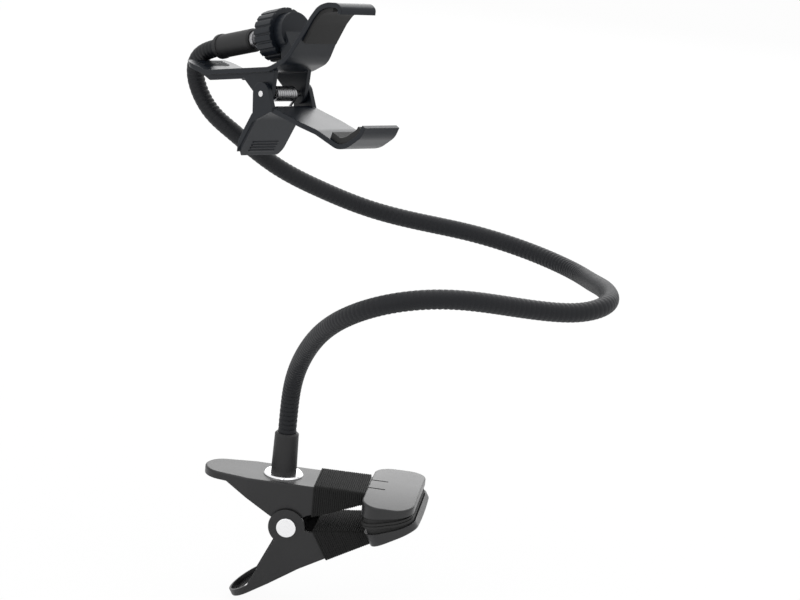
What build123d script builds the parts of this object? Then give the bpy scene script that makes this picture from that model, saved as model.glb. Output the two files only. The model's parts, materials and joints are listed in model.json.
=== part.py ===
from build123d import *
import math
import os

# Clamp-on gooseneck holder with a spring clip at its head, in millimetres.
# +X points out of the table clamp's mouth, +Y across the clamp, +Z up.
# The origin lies in the table clamp's grip, between its two pads.

# Table clamp: two pressed steel levers on one rivet
jaw_half_angle = 15.0
jaw_reach = 54.0
web_rise = 22.5
sheet = 1.2
lever_width = 27.0
lever_gap = 0.3
handle_reach = 46.0
handle_end_radius = 10.8
lower_end_radius = 13.6
handle_taper_start = 22.0
upper_knee = 17.0
upper_lift = 0.8
lower_knee = 4.0
lower_lift = 4.5
handle_skirt = 3.8
handle_flange_start = 33.0
lever_nose = 60.5
nose_flange_depth = 2.0
jaw_flange_end = 35.0
jaw_flange_depth = 5.2
throat_reach = 22.0
throat_depth = 10.9
boss_radius = 9.3
boss_step = 0.8
boss_front_rise = 7.0
boss_back_rise = 4.0
bend_radius = 0.9
window_length = 25.0
window_width = 14.0
window_rim = 5.5

# Rivet and spring of the table clamp
running_clearance = 0.05
rivet_radius = 2.5
rivet_head_radius = 5.0
rivet_head_height = 1.2
spring_wire = 1.8
spring_coil_radius = 5.0
spring_turns = 7
spring_leg_reach = 27.0

# Rubber jaws and cord wraps of the table clamp
jaw_start = 37.6
jaw_end = 63.8
jaw_width = 60.0
jaw_corner = 10.0
jaw_cover = 1.1
jaw_crown = 1.4
jaw_edge_round = 0.9
jaw_heel_thickness = 8.6
jaw_toe_thickness = 4.4
jaw_pad_inset = 0.5
pad_sole = 1.3
pad_step = 0.9
grip_gap = 0.15
groove_length = 9.0
groove_width = 1.0
groove_depth = 0.5
groove_spacing = 11.5
wrap_start = 11.5
wrap_cord = 1.1
wrap_end_gap = 0.3

# Arm's foot: washer, ferrule, stud and nut
seat_setback = 6.0
washer_radius = 9.9
washer_height = 1.2
washer_rim = 0.5
stud_radius = 4.0
nut_across_flats = 13.0
nut_height = 4.5
ferrule_radius = 6.0
ferrule_foot_radius = 6.5
foot_ferrule_height = 21.3
ferrule_chamfer = 0.8
arm_radius = 4.6
arm_seat_depth = 14.0
foot_run = 11.5

# Ball joint between the arm and the phone clip
ball_radius = 6.75
ball_clearance = 0.15
neck_radius = 2.75
neck_end = 20.0
shoulder_radius = 4.6
shoulder_height = 2.0
shoulder_gap = 0.3
spigot_radius = 3.4
spigot_length = 9.0
head_ferrule_length = 28.0
ferrule_ring_height = 2.0
ferrule_ring_rise = 0.4
boss_wall = 3.1
boss_depth = 11.0
boss_face = 0.4
collar_wall = 2.95
collar_skirt = 5.0
collar_top = 6.5
collar_face_gap = 0.3
mouth_radius = 5.2
mouth_start = 4.2
mouth_flare = 19.0
flute_count = 20
flute_radius = 0.7
socket_tilt = 15.0

# Phone clip: two moulded halves sprung apart at their handles, on one pin
clip_heading = 45.4
clip_dip = -4.1
clip_tilt = -33.4
clip_plate = 2.4
clip_bend_share = 0.42
clip_bend_limit = 14.0
handle_span = 29.0
hook_span = 23.0
taper_from = -20.0
taper_to = -40.0
tip_corner = 6.0
hook_corner = 2.5
clip_ear = 2.4
upper_ear_outer = 12.3
clip_ear_gap = 0.3
upper_ear_radius = 5.0
lower_ear_radius = 5.8
pin_radius = 1.5
pin_proud = 0.2
clip_wire = 1.4
clip_coil_radius = 3.2
clip_turns = 9
clip_leg_reach = 17.0
upper_liner_thickness = 2.0
lower_liner_thickness = 3.0
liner_margin = 1.0
glue_line = 0.02
grip_rib_count = 4
grip_rib_pitch = 1.8
grip_rib_radius = 0.5
grip_rib_setback = 3.0
upper_ear_front = 12.0
upper_ear_back = 14.0
lower_ear_front = 5.0
lower_ear_back = 11.0
upper_rim_depth = 4.2
lower_rim_depth = 3.2
upper_rim_start = 8.0
lower_rim_start = 6.5
rim_setback = 1.4
pedestal_length = 9.2
pedestal_step = 3.6

# Arm's main sizes, where the clip's pin stands from its seat, and its turn on the clamp
arm_width = 219.0
arm_depth = 208.0
arm_rise = 185.5
clip_left = 17.9
clip_behind = 41.0
arm_turn = 6.5
arm_bend_share = 0.45

# Where the ball stands in the clip's side view, from its pin: back, then up
ball_place = (-10.2, 27.5)

# Clip's upper half in side view from its pin: middle line from handle tip to hook
upper_path = [
    (49.2, 36.9),
    (36.2, 26.0),
    (-9.5, 9.2),
    (-22.0, 8.8),
    (-44.0, 21.6),
    (-51.0, 24.2),
    (-57.2, 23.3),
    (-63.2, 20.4),
    (-64.6, 17.8),
    (-63.3, 15.9),
]

# Clip's lower half in side view from its pin: middle line from handle tip to hook
lower_path = [
    (28.9, -20.9),
    (6.8, -8.0),
    (-1.2, -7.7),
    (-28.7, -31.4),
    (-38.6, -43.0),
    (-44.6, -44.4),
    (-54.8, -43.4),
    (-59.0, -40.4),
]

# Gooseneck's route from the seat, as shares of the arm's width, depth and rise
arm_route = [
    (0.005, -0.038, 0.291),
    (0.037, -0.183, 0.431),
    (0.091, -0.375, 0.571),
    (0.201, -0.486, 0.668),
    (0.338, -0.466, 0.690),
    (0.475, -0.385, 0.652),
    (0.612, -0.317, 0.625),
    (0.689, -0.240, 0.642),
    (0.680, -0.067, 0.625),
    (0.662, 0.096, 0.588),
    (0.639, 0.269, 0.561),
    (0.539, 0.409, 0.566),
    (0.393, 0.457, 0.593),
    (0.256, 0.490, 0.598),
    (0.128, 0.514, 0.615),
    (0.009, 0.466, 0.674),
    (-0.100, 0.413, 0.739),
    (-0.205, 0.399, 0.836),
    (-0.265, 0.428, 0.873),
    (-0.311, 0.462, 0.954),
]
arm_exit = 18.7

# Frames worked out from the driving dimensions
grip_slope = math.radians(jaw_half_angle)
pivot = Vector(-jaw_reach * math.cos(grip_slope), 0, -jaw_reach * math.sin(grip_slope))
upper_along = Vector(1, 0, 0)
upper_out = Vector(0, 0, 1)
lower_along = Vector(math.cos(2 * grip_slope), 0, math.sin(2 * grip_slope))
lower_out = Vector(math.sin(2 * grip_slope), 0, -math.cos(2 * grip_slope))
seat = pivot - upper_along * seat_setback + upper_out * web_rise
lower_width = lever_width + 2 * (lever_gap + sheet)

heading = math.radians(clip_heading + arm_turn)
dip = math.radians(clip_dip)
tilt = math.radians(clip_tilt)
clip_axis = Vector(
    math.cos(heading) * math.cos(dip), math.sin(heading) * math.cos(dip), math.sin(dip)
)
level_back = Vector(-math.sin(heading), math.cos(heading), 0)
clip_back = level_back * math.cos(tilt) + clip_axis.cross(level_back) * math.sin(tilt)
clip_up = clip_axis.cross(clip_back)
clip_pivot = seat + Vector(-clip_left, clip_behind, arm_rise).rotate(Axis.Z, arm_turn)
clip_side = Plane(origin=clip_pivot, x_dir=clip_back, z_dir=clip_axis)
clip_plan = Plane(origin=clip_pivot, x_dir=clip_back, z_dir=clip_up)

socket_pitch = math.radians(socket_tilt)
ball_centre = clip_pivot + clip_back * ball_place[0] + clip_up * ball_place[1]
socket_axis = clip_back * math.cos(socket_pitch) + clip_up * math.sin(socket_pitch)
socket = Plane(origin=ball_centre, x_dir=clip_axis, z_dir=socket_axis)
far = 4 * handle_reach

os.makedirs("parts", exist_ok=True)


def finish(builder, name):
    """Labels a finished piece and writes it to its own file."""
    builder.part.label = name
    export_step(builder.part, f"parts/{name}.step")


def eye(radius, points):
    """A round eye at the origin of a side view, drawn out to some points."""
    with BuildSketch(Plane.XY, mode=Mode.PRIVATE) as outline:
        with BuildLine():
            CenterArc((0, 0), radius, 0, 360)
            Polyline(*points)
        make_hull()
    return outline.sketch


class Lever:
    """One lever of the table clamp: its directions and the sizes of its own."""

    def __init__(self, along, out, width, boss, tip_radius, knee, lift):
        self.width = width
        self.boss = boss
        self.tip_radius = tip_radius
        self.knee = knee
        self.slope = math.tan(math.radians(lift))
        self.along = along
        self.out = out
        self.side = Plane(origin=pivot, x_dir=along, z_dir=along.cross(out))
        self.plan = Plane(origin=pivot, x_dir=along, z_dir=out)

    def web_height(self, reach):
        """The web's outer face over the pivot, at some reach back along the handle."""
        return web_rise + max(reach - self.knee, 0) * self.slope

    def web_line(self, drop):
        """The web's line in side view, lowered by a drop: handle tip, knee and nose."""
        return (
            (-handle_reach, self.web_height(handle_reach) - drop),
            (-self.knee, web_rise - drop),
            (lever_nose, web_rise - drop),
        )


upper = Lever(
    upper_along, upper_out, lever_width, boss_radius - boss_step, handle_end_radius, upper_knee, upper_lift
)
lower = Lever(lower_along, lower_out, lower_width, boss_radius, lower_end_radius, lower_knee, lower_lift)


def lever_plan(width, tip_radius, inset, nose):
    """The lever's plan, drawn in by an inset: a straight channel with a round handle tip."""
    half_width = width / 2 - inset
    with BuildSketch(Plane.XY, mode=Mode.PRIVATE) as outline:
        with BuildLine():
            CenterArc((tip_radius - handle_reach, 0), tip_radius - inset, 0, 360)
            Line((-handle_taper_start, half_width), (nose, half_width))
            Line((-handle_taper_start, -half_width), (nose, -half_width))
        make_hull()
    return outline.sketch


def lever_side(lever):
    """The lever's filled side outline: web, skirt, flanges and round pivot boss."""
    tip, knee, nose = lever.web_line(0)
    boss = lever.boss
    skirt_tip = (tip[0], tip[1] - handle_skirt)
    flange_back = (-handle_flange_start, lever.web_height(handle_flange_start) - handle_skirt)
    with BuildSketch(Plane.XY, mode=Mode.PRIVATE) as outline:
        with BuildLine():
            Polyline(
                tip,
                knee,
                nose,
                (lever_nose, web_rise - nose_flange_depth),
                (jaw_flange_end, web_rise - jaw_flange_depth),
                (throat_reach, web_rise - throat_depth),
                (boss + boss_step, boss_front_rise),
                (0, 0),
                (-boss, boss_back_rise),
                flange_back,
                skirt_tip,
                close=True,
            )
        make_face()
        Circle(boss)
    return outline.sketch


def pressed_lever(lever):
    """A pressed steel lever: web, a flange down each side and a skirt round its tip."""
    width, tip_radius = lever.width, lever.tip_radius
    tip, knee, nose = lever.web_line(sheet)
    with BuildPart() as hollow:
        with BuildSketch(lever.plan):
            add(lever_plan(width, tip_radius, sheet, lever_nose + sheet))
        extrude(amount=far, both=True)
        with BuildSketch(lever.side):
            with BuildLine():
                Polyline(
                    tip,
                    knee,
                    (nose[0] + sheet, nose[1]),
                    (nose[0] + sheet, -far),
                    (tip[0], -far),
                    close=True,
                )
            make_face()
        extrude(amount=width, both=True, mode=Mode.INTERSECT)
    with BuildPart() as channel:
        with BuildSketch(lever.plan):
            add(lever_plan(width, tip_radius, 0, lever_nose))
        extrude(amount=far, both=True)
        with BuildSketch(lever.side):
            add(lever_side(lever))
        extrude(amount=width, both=True, mode=Mode.INTERSECT)
        webs = channel.faces().filter_by(lambda face: face.normal_at().dot(lever.out) > 0.9)
        rims = [
            edge
            for web in webs
            for edge in web.edges()
            if sum(edge.is_same(other) for twin in webs for other in twin.edges()) == 1
            and (edge.center() - pivot).dot(lever.along) < lever_nose - sheet
        ]
        fillet(rims, radius=bend_radius)
        add(hollow.part, mode=Mode.SUBTRACT)
        with BuildSketch(lever.side):
            Circle(rivet_radius + running_clearance)
        extrude(amount=width, both=True, mode=Mode.SUBTRACT)
    return channel


# Upper lever, with the hole for the arm's stud
upper_channel = pressed_lever(upper)
with BuildPart() as upper_lever:
    add(upper_channel.part)
    with BuildSketch(Plane(origin=seat)):
        Circle(stud_radius + running_clearance)
    extrude(amount=2 * sheet, both=True, mode=Mode.SUBTRACT)
finish(upper_lever, "upper_lever")

# Lower lever, its flanges outside the upper lever's, with a window through its handle
lower_channel = pressed_lever(lower)
with BuildPart() as lower_lever:
    add(lower_channel.part)
    with BuildSketch(lower.plan):
        with Locations((window_rim + window_length / 2 - handle_reach, 0)):
            SlotOverall(window_length, window_width)
    extrude(amount=far, mode=Mode.SUBTRACT)
finish(lower_lever, "lower_lever")

# Rivet through both levers, with a flat round head outside each flange
rivet_span = lower_width / 2 + running_clearance
with BuildPart() as pivot_rivet:
    with BuildSketch(Plane(origin=pivot, x_dir=upper_along, z_dir=(0, 1, 0))):
        Circle(rivet_radius)
    extrude(amount=rivet_span, both=True)
    for hand in (-1, 1):
        outer = Plane(
            origin=pivot + Vector(0, hand * rivet_span, 0), x_dir=upper_along, z_dir=(0, hand, 0)
        )
        with BuildSketch(outer):
            Circle(rivet_head_radius)
        extrude(amount=rivet_head_height)
    rims = pivot_rivet.edges().filter_by(GeomType.CIRCLE).sort_by(Axis.Y)
    fillet([rims[0], rims[-1]], radius=rivet_head_height / 3)
finish(pivot_rivet, "pivot_rivet")


def tangent_leg(coil_radius, target, hand):
    """A leg's start, where a line to its target leaves the coil, and its end."""
    swing = math.acos(coil_radius / math.hypot(*target))
    angle = math.atan2(target[1], target[0]) + hand * swing
    return (coil_radius * math.cos(angle), coil_radius * math.sin(angle)), target


def torsion_spring(side, wire, coil_radius, turns, legs):
    """A close-wound torsion spring on a pin: a ribbed coil with a straight leg each end."""
    pitch = 0.94 * wire
    reach = (turns - 1) / 2 * pitch
    with BuildPart() as spring:
        with BuildSketch(Plane.XZ):
            with Locations((coil_radius, 0)):
                with GridLocations(0, pitch, 1, turns):
                    Circle(wire / 2)
        revolve(axis=Axis.Z)
        for shift, (start, stop) in zip((-reach, reach), legs):
            toe = Vector(stop[0], stop[1], shift)
            run = (toe - Vector(start[0], start[1], shift)).normalized()
            heel = Vector(start[0], start[1], shift) - run * wire
            with BuildSketch(Plane(origin=heel, z_dir=run)):
                Circle(wire / 2)
            extrude(amount=(toe - heel).length)
    with BuildPart() as placed:
        add(side.location * spring.part)
    return placed


# Torsion spring on the rivet, a leg pressing each handle outwards
leg_drop = sheet + spring_wire / 2 + running_clearance
upper_toe = upper_out * (upper.web_height(spring_leg_reach) - leg_drop) - upper_along * spring_leg_reach
lower_toe = lower_out * (lower.web_height(spring_leg_reach) - leg_drop) - lower_along * spring_leg_reach
clamp_spring = torsion_spring(
    upper.side,
    spring_wire,
    spring_coil_radius,
    spring_turns,
    (
        tangent_leg(spring_coil_radius, (upper_toe.X, upper_toe.Z), 1),
        tangent_leg(spring_coil_radius, (lower_toe.X, lower_toe.Z), -1),
    ),
)
finish(clamp_spring, "clamp_spring")


def jaw_plan(inset):
    """A jaw's plan: a rounded block, wider than the lever that carries it."""
    with BuildSketch(Plane.XY, mode=Mode.PRIVATE) as outline:
        with Locations(((jaw_start + jaw_end) / 2, 0)):
            RectangleRounded(
                jaw_end - jaw_start - 2 * inset, jaw_width - 2 * inset, jaw_corner - inset
            )
    return outline.sketch


jaw_top = web_rise + jaw_cover
heel = (jaw_start, jaw_top - jaw_heel_thickness)
toe = (jaw_end, jaw_top - jaw_toe_thickness)


def jaw_cap(lever):
    """A rubber cap pushed over the lever's nose: crowned top with two short grooves."""
    along, out = lever.along, lever.out
    crown_radius = (jaw_width**2 / 4 + jaw_crown**2) / (2 * jaw_crown)
    crown_axis = pivot + out * (jaw_top - crown_radius)
    with BuildPart() as cap:
        with BuildSketch(lever.plan):
            add(jaw_plan(0))
        extrude(amount=far)
        with BuildSketch(lever.side):
            with BuildLine():
                Polyline(heel, toe, (jaw_end, far), (jaw_start, far), close=True)
            make_face()
        extrude(amount=jaw_width, both=True, mode=Mode.INTERSECT)
        with BuildSketch(Plane(origin=crown_axis, x_dir=out.cross(along), z_dir=along)):
            Circle(crown_radius)
        extrude(amount=far, mode=Mode.INTERSECT)
        crown = cap.faces().filter_by(GeomType.CYLINDER).sort_by(SortBy.AREA)[-1]
        fillet(crown.edges(), radius=jaw_edge_round)
        with BuildSketch(lever.side):
            offset(lever_side(lever), amount=running_clearance, kind=Kind.INTERSECTION)
        extrude(amount=lever.width / 2 + running_clearance, both=True, mode=Mode.SUBTRACT)
        with BuildSketch(Plane(origin=pivot + out * (jaw_top - groove_depth), x_dir=along, z_dir=out)):
            with Locations((jaw_start + groove_length / 2, 0)):
                with GridLocations(0, groove_spacing, 1, 2):
                    Rectangle(groove_length, groove_width)
        extrude(amount=2 * groove_depth, mode=Mode.SUBTRACT)
    return cap


def pad_line(reach, lift):
    """A point above the grip plane, in a lever's side view."""
    return (reach, reach * math.tan(grip_slope) + grip_gap / math.cos(grip_slope) + lift)


def pad_layer(lever, inset, top):
    """One layer of a jaw pad, from just short of the grip plane up to a line."""
    with BuildPart() as layer:
        with BuildSketch(lever.plan):
            add(jaw_plan(inset))
        extrude(amount=far)
        with BuildSketch(lever.side):
            with BuildLine():
                Polyline(pad_line(jaw_start, 0), pad_line(jaw_end, 0), *top, close=True)
            make_face()
        extrude(amount=jaw_width, both=True, mode=Mode.INTERSECT)
    return layer.part


def jaw_pad(lever):
    """A soft wedge under the cap: a broad sole just short of the grip plane, and a neck."""
    neck = pad_layer(lever, jaw_pad_inset + pad_step, (toe, heel))
    sole = pad_layer(lever, jaw_pad_inset, (pad_line(jaw_end, pad_sole), pad_line(jaw_start, pad_sole)))
    with BuildPart() as pad:
        add(neck)
        add(sole)
    return pad


def cord_wrap(lever):
    """Cord wound over the lever's jaw arm, as one sleeve of the cord's thickness."""
    wrap_stop = jaw_start - wrap_end_gap
    with BuildPart() as wrap:
        for swell, mode in ((wrap_cord, Mode.ADD), (running_clearance, Mode.SUBTRACT)):
            with BuildSketch(lever.side):
                offset(lever_side(lever), amount=swell, kind=Kind.INTERSECTION)
                with Locations(((wrap_start + wrap_stop) / 2, 0)):
                    Rectangle(wrap_stop - wrap_start, far, mode=Mode.INTERSECT)
            extrude(amount=lever.width / 2 + swell, both=True, mode=mode)
    return wrap


for name, lever in (("upper", upper), ("lower", lower)):
    finish(jaw_cap(lever), f"{name}_jaw_cap")
    finish(jaw_pad(lever), f"{name}_jaw_pad")
    finish(cord_wrap(lever), f"{name}_cord_wrap")

# Bright washer between the web and the arm's foot, its rim bevelled
with BuildPart() as seat_washer:
    with BuildSketch(Plane(origin=seat)):
        Circle(washer_radius)
        Circle(stud_radius + running_clearance, mode=Mode.SUBTRACT)
    extrude(amount=washer_height)
    rim = seat_washer.edges().group_by(Axis.Z)[-1].sort_by(SortBy.LENGTH)[-1]
    chamfer(rim, length=washer_height - washer_rim)
finish(seat_washer, "seat_washer")

# Foot ferrule: a sleeve for the arm with a stud down through washer and web
foot = seat + upper_out * washer_height
foot_top = foot + upper_out * foot_ferrule_height
with BuildPart() as base_ferrule:
    with BuildSketch(Plane(origin=foot)):
        Circle(ferrule_foot_radius)
    with BuildSketch(Plane(origin=foot_top)):
        Circle(ferrule_radius)
    loft()
    chamfer(base_ferrule.edges().group_by(Axis.Z)[-1], length=ferrule_chamfer)
    with BuildSketch(Plane(origin=foot)):
        Circle(stud_radius)
    extrude(amount=-(washer_height + sheet + nut_height))
    with BuildSketch(Plane(origin=foot_top)):
        Circle(arm_radius + running_clearance)
    extrude(amount=-arm_seat_depth, mode=Mode.SUBTRACT)
finish(base_ferrule, "base_ferrule")

# Hexagon nut under the web
with BuildPart() as arm_nut:
    with BuildSketch(Plane(origin=seat - upper_out * sheet)):
        RegularPolygon(nut_across_flats / 2, 6, major_radius=False)
        Circle(stud_radius + running_clearance, mode=Mode.SUBTRACT)
    extrude(amount=-nut_height)
finish(arm_nut, "arm_nut")


def bend_radii(points, share, limit):
    """The arc for each corner of a path: a share of its shorter run, up to a limit."""
    radii = []
    for before, here, after in zip(points, points[1:], points[2:]):
        turn = math.radians((here - before).get_angle(after - here))
        shorter = min((here - before).length, (after - here).length)
        radii.append(min(limit, share * shorter / math.tan(turn / 2)))
    return radii


# Gooseneck between the bottoms of its two ferrules
head_end = neck_end + head_ferrule_length
route = (
    [foot_top - upper_out * arm_seat_depth]
    + [foot_top + upper_out * foot_run]
    + [
        seat + Vector(arm_width * x, arm_depth * y, arm_rise * z).rotate(Axis.Z, arm_turn)
        for x, y, z in arm_route
    ]
    + [ball_centre + socket_axis * (head_end + arm_exit)]
    + [ball_centre + socket_axis * (head_end - arm_seat_depth)]
)
arm_bends = bend_radii(route, arm_bend_share, math.inf)
with BuildPart() as gooseneck:
    with BuildLine() as arm_line:
        FilletPolyline(*route, radius=arm_bends)
    with BuildSketch(Plane(origin=route[0], z_dir=route[1] - route[0])):
        Circle(arm_radius)
    sweep()
arm_length = sum(edge.length for edge in arm_line.edges())
print("arm bend radii", [round(radius, 1) for radius in arm_bends])
print("arm length", round(arm_length, 1))
print("arm volume share", round(gooseneck.part.volume / (math.pi * arm_radius**2 * arm_length), 4))
finish(gooseneck, "gooseneck")

# Head ferrule on the arm's other end, bored for the arm and for the ball's spigot
with BuildPart() as head_ferrule:
    with BuildSketch(socket.offset(neck_end)):
        Circle(ferrule_radius)
    extrude(amount=head_ferrule_length)
    chamfer(head_ferrule.edges().filter_by(GeomType.CIRCLE), length=ferrule_chamfer)
    with BuildSketch(socket.offset(head_end - ferrule_ring_height - 2 * ferrule_chamfer)):
        Circle(ferrule_radius + ferrule_ring_rise)
    extrude(amount=ferrule_ring_height)
    with BuildSketch(socket.offset(head_end)):
        Circle(arm_radius + running_clearance)
    extrude(amount=-arm_seat_depth, mode=Mode.SUBTRACT)
    with BuildSketch(socket.offset(neck_end)):
        Circle(spigot_radius + running_clearance)
    extrude(amount=spigot_length, mode=Mode.SUBTRACT)
finish(head_ferrule, "head_ferrule")

# Ball stud: ball, neck, shoulder and spigot turned as one piece
with BuildPart() as ball_stud:
    with Locations(socket.location):
        Sphere(ball_radius)
    with BuildSketch(socket):
        Circle(neck_radius)
    extrude(amount=neck_end)
    with BuildSketch(socket.offset(neck_end - shoulder_gap - shoulder_height)):
        Circle(shoulder_radius)
    extrude(amount=shoulder_height)
    with BuildSketch(socket.offset(neck_end - shoulder_gap)):
        Circle(spigot_radius)
    extrude(amount=spigot_length)
finish(ball_stud, "ball_stud")

# Collar nut that holds the ball down in the socket, fluted for the fingers
boss_outer = ball_radius + ball_clearance + boss_wall
collar_outer = boss_outer + running_clearance + collar_wall
mouth_length = collar_top - mouth_start
with BuildPart() as collar_nut:
    with BuildSketch(socket.offset(-collar_skirt)):
        Circle(collar_outer)
        with PolarLocations(collar_outer, flute_count):
            Circle(flute_radius, mode=Mode.SUBTRACT)
    extrude(amount=collar_skirt + collar_top)
    with BuildSketch(socket.offset(-collar_skirt)):
        Circle(boss_outer + running_clearance)
    extrude(amount=collar_skirt - boss_face + collar_face_gap, mode=Mode.SUBTRACT)
    with Locations(socket.location):
        Sphere(ball_radius + ball_clearance, mode=Mode.SUBTRACT)
    with BuildSketch(socket.offset(mouth_start)):
        Circle(mouth_radius)
    with BuildSketch(socket.offset(collar_top)):
        Circle(mouth_radius + mouth_length * math.tan(math.radians(mouth_flare)))
    loft(mode=Mode.SUBTRACT)
finish(collar_nut, "collar_nut")


def plate_bends(points):
    """The arc at each corner of a clip half's middle line."""
    return bend_radii([Vector(*point) for point in points], clip_bend_share, clip_bend_limit)


def plate_section(points):
    """A clip half's bent plate, in side view."""
    with BuildSketch(Plane.XY, mode=Mode.PRIVATE) as section:
        with BuildLine():
            FilletPolyline(*points, radius=plate_bends(points))
        trace(line_width=clip_plate)
    return section.sketch


def liner_section(points, first, last, thickness, side):
    """A rubber strip glued along the inside of a hook, in side view."""
    stretch = [Vector(*point) for point in points[first : last + 1]]
    stretch[0] = (stretch[0] + stretch[1]) / 2
    stretch[-1] = (stretch[-1] + stretch[-2]) / 2
    with BuildSketch(Plane.XY, mode=Mode.PRIVATE) as section:
        with BuildLine():
            FilletPolyline(*stretch, radius=plate_bends(points)[first : last - 1])
        trace(line_width=clip_plate + 2 * thickness)
        with BuildLine():
            FilletPolyline(*points, radius=plate_bends(points))
        trace(line_width=clip_plate + 2 * glue_line, mode=Mode.SUBTRACT)
    return section.sketch.faces().sort_by(Axis.Y)[side]


def clip_outline(back_end):
    """A clip half's plan: a broad handle with rounded corners and a narrower hook."""
    with BuildSketch(Plane.XY, mode=Mode.PRIVATE) as outline:
        with BuildLine():
            Polyline(
                (back_end, handle_span / 2),
                (taper_from, handle_span / 2),
                (taper_to, hook_span / 2),
                (-far, hook_span / 2),
                (-far, -hook_span / 2),
                (taper_to, -hook_span / 2),
                (taper_from, -handle_span / 2),
                (back_end, -handle_span / 2),
                close=True,
            )
        make_face()
        fillet(outline.vertices().group_by(Axis.X)[-1], radius=tip_corner)
    return outline.sketch


def bent_plate(points):
    """A clip half's plate, cut to its plan and ribbed near the handle's tip."""
    tip, knee = Vector(*points[0]), Vector(*points[1])
    run = (knee - tip).normalized()
    outside = Vector(-run.Y, run.X) if points[0][1] < 0 else Vector(run.Y, -run.X)
    with BuildPart() as plate:
        with BuildSketch(clip_side):
            add(plate_section(points))
        extrude(amount=handle_span / 2, both=True)
        with BuildSketch(clip_plan):
            add(clip_outline(points[0][0] + clip_plate / 4))
        extrude(amount=far, both=True, mode=Mode.INTERSECT)
        for rib in range(grip_rib_count):
            place = tip + run * (grip_rib_setback + rib * grip_rib_pitch) + outside * (clip_plate / 2)
            with BuildSketch(clip_side):
                with Locations((place.X, place.Y)):
                    Circle(grip_rib_radius)
            extrude(amount=handle_span / 2 - tip_corner, both=True)
    return plate


def on_plate(points, x, shift=0.0):
    """The point of a clip half's middle line at some x, shifted upwards."""
    for (x0, y0), (x1, y1) in zip(points, points[1:]):
        if x1 <= x <= x0:
            return x, y0 + (y1 - y0) * (x - x0) / (x1 - x0) + shift


# Clip's upper half: plate, ears, skirts and the boss that takes the ball
upper_plate = bent_plate(upper_path)
upper_bend = upper_path[1][0]
upper_rim_end = upper_path[0][0] - rim_setback
boss_run = Vector(math.cos(socket_pitch), math.sin(socket_pitch))
boss_middle = Vector(*ball_place) - boss_run * (boss_depth / 2)
boss_end = Vector(*ball_place) - boss_run * boss_depth
pedestal_back = boss_end.X - clip_plate / 2
pedestal_front = pedestal_back + pedestal_length
with BuildPart() as clip_upper_half:
    add(upper_plate.part)
    for hand in (-1, 1):
        with BuildSketch(clip_side.offset(hand * (upper_ear_outer - clip_ear / 2))):
            ear_ends = [on_plate(upper_path, -upper_ear_front), on_plate(upper_path, upper_ear_back)]
            add(eye(upper_ear_radius, ear_ends))
            with BuildLine():
                Polyline(
                    on_plate(upper_path, upper_rim_end),
                    on_plate(upper_path, upper_bend),
                    on_plate(upper_path, upper_rim_start),
                    on_plate(upper_path, upper_rim_start + upper_rim_depth, -upper_rim_depth),
                    on_plate(upper_path, upper_bend, -upper_rim_depth),
                    close=True,
                )
            make_face()
            Circle(pin_radius + running_clearance, mode=Mode.SUBTRACT)
        extrude(amount=clip_ear / 2, both=True)
    with BuildSketch(socket.offset(-boss_depth)):
        Circle(boss_outer)
    extrude(amount=boss_depth - boss_face)
    with BuildSketch(clip_side):
        with BuildLine():
            Polyline(
                on_plate(upper_path, pedestal_back),
                on_plate(upper_path, pedestal_front),
                on_plate(upper_path, pedestal_front, pedestal_step),
                (boss_middle.X, boss_middle.Y),
                (boss_end.X, boss_end.Y),
                close=True,
            )
        make_face()
    extrude(amount=boss_outer * 0.75, both=True)
    with Locations(socket.location):
        Sphere(ball_radius + ball_clearance, mode=Mode.SUBTRACT)
finish(clip_upper_half, "clip_upper_half")

# Clip's lower half: plate and ears outside the upper half's
lower_ear_middle = upper_ear_outer + clip_ear_gap + clip_ear / 2
lower_plate = bent_plate(lower_path)
lower_rim_end = lower_path[0][0] - rim_setback
with BuildPart() as clip_lower_half:
    add(lower_plate.part)
    for hand in (-1, 1):
        with BuildSketch(clip_side.offset(hand * lower_ear_middle)):
            ear_ends = [on_plate(lower_path, -lower_ear_front), on_plate(lower_path, lower_ear_back)]
            add(eye(lower_ear_radius, ear_ends))
            with BuildLine():
                Polyline(
                    on_plate(lower_path, lower_rim_start),
                    on_plate(lower_path, lower_rim_start + lower_rim_depth, lower_rim_depth),
                    on_plate(lower_path, lower_rim_end - lower_rim_depth, lower_rim_depth),
                    on_plate(lower_path, lower_rim_end),
                    close=True,
                )
            make_face()
            Circle(pin_radius + running_clearance, mode=Mode.SUBTRACT)
        extrude(amount=clip_ear / 2, both=True)
finish(clip_lower_half, "clip_lower_half")

# Pin through all four ears
pin_half = lower_ear_middle + clip_ear / 2 + pin_proud
with BuildPart() as clip_pin:
    with BuildSketch(clip_side):
        Circle(pin_radius)
    extrude(amount=pin_half, both=True)
    fillet(clip_pin.edges().filter_by(GeomType.CIRCLE), radius=pin_proud)
finish(clip_pin, "clip_pin")


def handle_leg(points, reach, side):
    """Where a spring leg rests inside a clip handle, at a reach from the pin."""
    tip, knee = points[0], points[1]
    if knee[0] > reach:
        tip, knee = points[1], points[2]
    slope = (tip[1] - knee[1]) / (tip[0] - knee[0])
    lean = math.hypot(1, slope)
    stand_off = (clip_plate + clip_wire) / 2 + running_clearance
    return reach, knee[1] + slope * (reach - knee[0]) + side * stand_off * lean


# Torsion spring on the clip's pin, a leg pressing each handle outwards
clip_spring = torsion_spring(
    clip_side,
    clip_wire,
    clip_coil_radius,
    clip_turns,
    (
        tangent_leg(clip_coil_radius, handle_leg(upper_path, clip_leg_reach, -1), -1),
        tangent_leg(clip_coil_radius, handle_leg(lower_path, clip_leg_reach, 1), 1),
    ),
)
finish(clip_spring, "clip_spring")

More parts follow.
